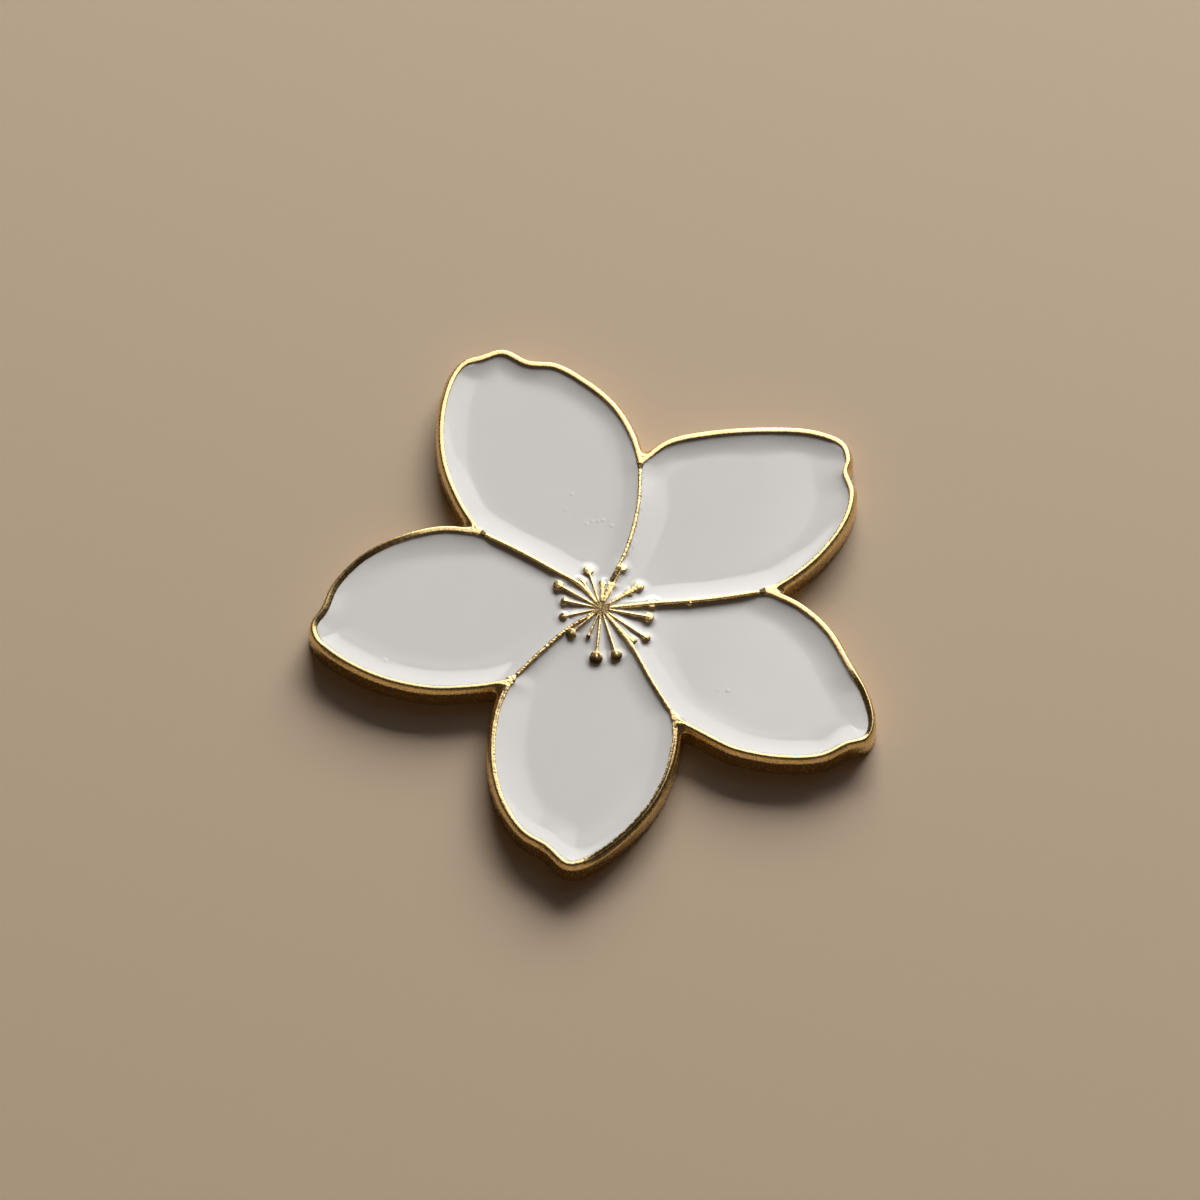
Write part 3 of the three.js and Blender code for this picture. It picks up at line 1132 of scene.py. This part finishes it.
def add_range(tree, value, given, wanted):
    """A value of the given range, low to high, turned into one of the wanted range."""
    spread = tree.nodes.new("ShaderNodeMapRange")
    sockets = ("From Min", "From Max", "To Min", "To Max")
    for socket, number in zip(sockets, (*given, *wanted)):
        spread.inputs[socket].default_value = number
    tree.links.new(value, spread.inputs["Value"])
    return spread.outputs["Result"]


def add_mix(tree, share, first, second):
    mix = tree.nodes.new("ShaderNodeMix")
    mix.data_type = "RGBA"
    feed(tree, first, mix.inputs["A"])
    feed(tree, second, mix.inputs["B"])
    tree.links.new(share, mix.inputs["Factor"])
    return mix.outputs["Result"]


def add_bump(tree, height, strength, depth, shader):
    bump = tree.nodes.new("ShaderNodeBump")
    feed(tree, strength, bump.inputs["Strength"])
    bump.inputs["Distance"].default_value = depth * MM
    tree.links.new(height, bump.inputs["Height"])
    tree.links.new(bump.outputs["Normal"], shader.inputs["Normal"])


def gold_material():
    """Satin pale gold plate, with crossing file marks on the raised lines and painted shade."""
    material, tree, shader = new_material("gilt_metal")
    shader.inputs["Metallic"].default_value = 1.0
    place = tree.nodes.new("ShaderNodeTexCoord").outputs["Object"]
    line = tree.nodes.new("ShaderNodeAttribute")
    line.attribute_name = "line"
    stretch = tree.nodes.new("ShaderNodeVectorMath")
    stretch.operation = "MULTIPLY"
    stretch.inputs[1].default_value = MARK_STRETCH
    tree.links.new(line.outputs["Vector"], stretch.inputs[0])
    parts = tree.nodes.new("ShaderNodeSeparateXYZ")
    tree.links.new(line.outputs["Vector"], parts.inputs["Vector"])
    finish = parts.outputs["Z"]
    bright = add_mix(tree, add_noise(tree, place, scale=900, detail=3), *GOLD_TONES)
    # Where the finish is above ROUGHEST the base colour is painted darker, mostly as shade
    dark = add_range(tree, finish, (ROUGHEST, DARKEST), (0.0, 1.0))
    tree.links.new(add_mix(tree, dark, bright, DARK_GOLD), shader.inputs["Base Color"])
    fine = add_noise(tree, place, scale=6000, detail=2)
    roughness = add_range(tree, fine, NOISE_MIDDLE, GOLD_ROUGHNESS)
    tree.links.new(roughness, shader.inputs["Roughness"])
    scratches = add_noise(tree, stretch.outputs["Vector"], scale=14, detail=2)
    strength = add_range(tree, finish, (0.0, ROUGHEST), GOLD_BUMP_STRENGTH)
    add_bump(tree, scratches, strength, GOLD_BUMP, shader)
    return material


def enamel_material():
    """Glossy warm white enamel with a faint unevenness."""
    material, tree, shader = new_material("white_enamel")
    shader.inputs["IOR"].default_value = ENAMEL_IOR
    place = tree.nodes.new("ShaderNodeTexCoord").outputs["Object"]
    tone = add_mix(tree, add_noise(tree, place, scale=350, detail=2), *ENAMEL_TONES)
    tree.links.new(tone, shader.inputs["Base Color"])
    gloss = add_noise(tree, place, scale=1200, detail=2)
    roughness = add_range(tree, gloss, NOISE_MIDDLE, ENAMEL_ROUGHNESS)
    tree.links.new(roughness, shader.inputs["Roughness"])
    uneven = add_noise(tree, place, scale=700, detail=1)
    add_bump(tree, uneven, ENAMEL_BUMP_STRENGTH, ENAMEL_BUMP, shader)
    return material


# Stage, light and camera

def add_floor():
    corners = [(-1, -1), (1, -1), (1, 1), (-1, 1)]
    mesh = bpy.data.meshes.new("floor")
    mesh.from_pydata([(x * FLOOR_REACH, y * FLOOR_REACH, 0) for x, y in corners], [], [(0, 1, 2, 3)])
    floor = bpy.data.objects.new("floor", mesh)
    bpy.context.scene.collection.objects.link(floor)
    material, _, shader = new_material("pale_floor")
    shader.inputs["Base Color"].default_value = (*FLOOR_COLOR, 1)
    shader.inputs["Roughness"].default_value = FLOOR_ROUGHNESS
    mesh.materials.append(material)


def add_area_light(name, azimuth, elevation, size, radiance, color):
    """A rectangular light that faces the flower. Azimuth 0 is over +Y and 90 over +X."""
    data = bpy.data.lights.new(name, "AREA")
    data.shape = "RECTANGLE"
    data.size, data.size_y = size
    data.energy = radiance * math.pi * size[0] * size[1]
    data.color = color
    light = bpy.data.objects.new(name, data)
    a, e = math.radians(azimuth), math.radians(elevation)
    towards = Vector((math.sin(a) * math.cos(e), math.cos(a) * math.cos(e), math.sin(e)))
    light.location = towards * LIGHT_DISTANCE
    light.rotation_euler = towards.to_track_quat("Z", "Y").to_euler()
    light.visible_camera = False
    bpy.context.scene.collection.objects.link(light)
    return light


def add_world():
    world = bpy.data.worlds.new("room")
    world.use_nodes = True
    background = world.node_tree.nodes["Background"]
    background.inputs["Color"].default_value = (*ROOM_COLOR, 1)
    background.inputs["Strength"].default_value = ROOM_STRENGTH
    bpy.context.scene.world = world


def add_camera():
    """The photo's view: from the front and high up, through a long lens."""
    elevation = math.radians(CAMERA_ELEVATION)
    data = bpy.data.cameras.new("camera")
    data.sensor_width = SENSOR_WIDTH
    data.lens = data.sensor_width * CAMERA_DISTANCE / PICTURE_WIDTH
    data.clip_start = NEAREST_SEEN
    camera = bpy.data.objects.new("camera", data)
    back = Vector((0, -math.cos(elevation), math.sin(elevation)))
    up = Vector((0, math.sin(elevation), math.cos(elevation)))
    left = Vector((-1, 0, 0))
    target = Vector((0, 0, THICKNESS * MM)) + up * AIM_UP + left * AIM_LEFT
    camera.location = target + back * CAMERA_DISTANCE
    camera.rotation_euler = back.to_track_quat("Z", "Y").to_euler()
    bpy.context.scene.collection.objects.link(camera)
    bpy.context.scene.camera = camera


gold = gold_material()
enamel = enamel_material()
metal_piece().data.materials.append(gold)
for petal in range(len(names)):
    enamel_piece(petal).data.materials.append(enamel)

add_floor()
add_area_light(*WINDOW).visible_glossy = False
for sheen in SHEENS:
    add_area_light(*sheen).visible_diffuse = False
add_world()
add_camera()
bpy.context.scene.view_settings.view_transform = "Standard"
